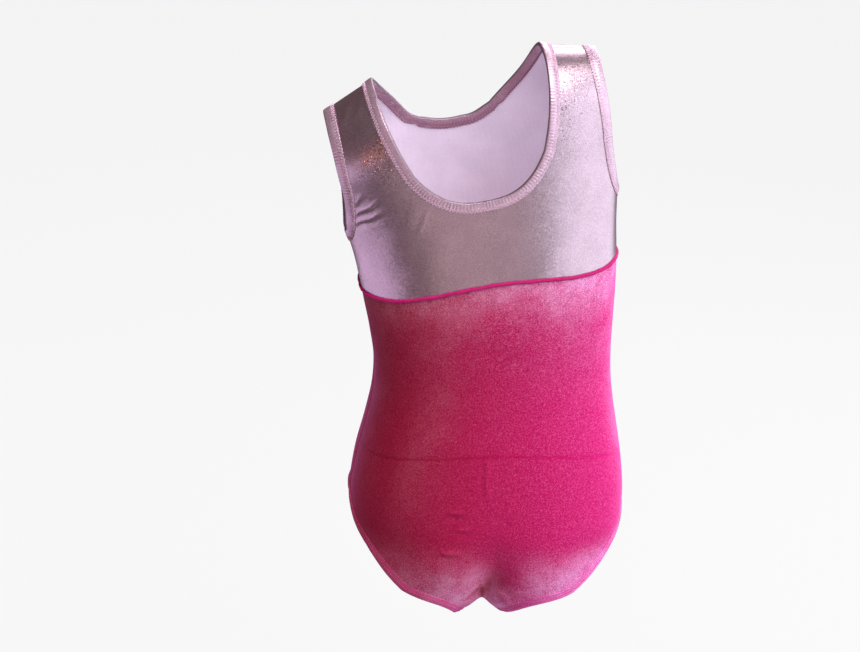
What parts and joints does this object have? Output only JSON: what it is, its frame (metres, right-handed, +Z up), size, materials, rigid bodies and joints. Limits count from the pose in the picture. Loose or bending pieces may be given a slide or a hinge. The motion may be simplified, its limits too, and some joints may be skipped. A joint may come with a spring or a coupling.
{
  "type": "gymnastics leotard",
  "caption": "Child's sleeveless gymnastics leotard with a scoop neck, a foil knit yoke and a velour body, bound edges, filled out as worn.",
  "frame": {"origin": "midway between the two points where the neck edge crosses the shoulder seams, where the shoulders carry the garment", "axes": "+Z up along the wearer's height, +Y towards the wearer's back, +X towards the wearer's left; the torso leans towards +X going up"},
  "size_m": [0.2637, 0.1657, 0.515],
  "materials": {
    "foil_knit": "metallic foil on stretch knit, soft sparkle",
    "velour": "short-pile stretch velour with a pale sheen",
    "lining_knit": "matte fine knit",
    "elastic": "matte woven elastic",
    "mauve_thread": "soft polyester thread",
    "pink_thread": "soft polyester thread",
    "label_satin": "blank satin label"
  },
  "bodies": {
    "root": {"back_yoke": "foil_knit", "front_yoke": "foil_knit", "back_body": "velour", "front_body": "velour", "gusset_lining": "lining_knit", "neck_binding": "foil_knit", "neck_elastic": "elastic", "neck_topstitch": "mauve_thread", "armhole_binding_left": "foil_knit", "armhole_binding_right": "foil_knit", "armhole_elastic_left": "elastic", "armhole_elastic_right": "elastic", "armhole_topstitch_left": "mauve_thread", "armhole_topstitch_right": "mauve_thread", "leg_binding_left": "velour", "leg_binding_right": "velour", "leg_elastic_left": "elastic", "leg_elastic_right": "elastic", "leg_topstitch_left": "pink_thread", "leg_topstitch_right": "pink_thread", "yoke_piping": "velour", "yoke_seam_back": "pink_thread", "yoke_seam_front": "pink_thread", "side_seam_left": "pink_thread", "side_seam_right": "pink_thread", "shoulder_seam_left": "mauve_thread", "shoulder_seam_right": "mauve_thread", "crotch_seam": "pink_thread", "size_label": "label_satin"}
  },
  "joints": []
}
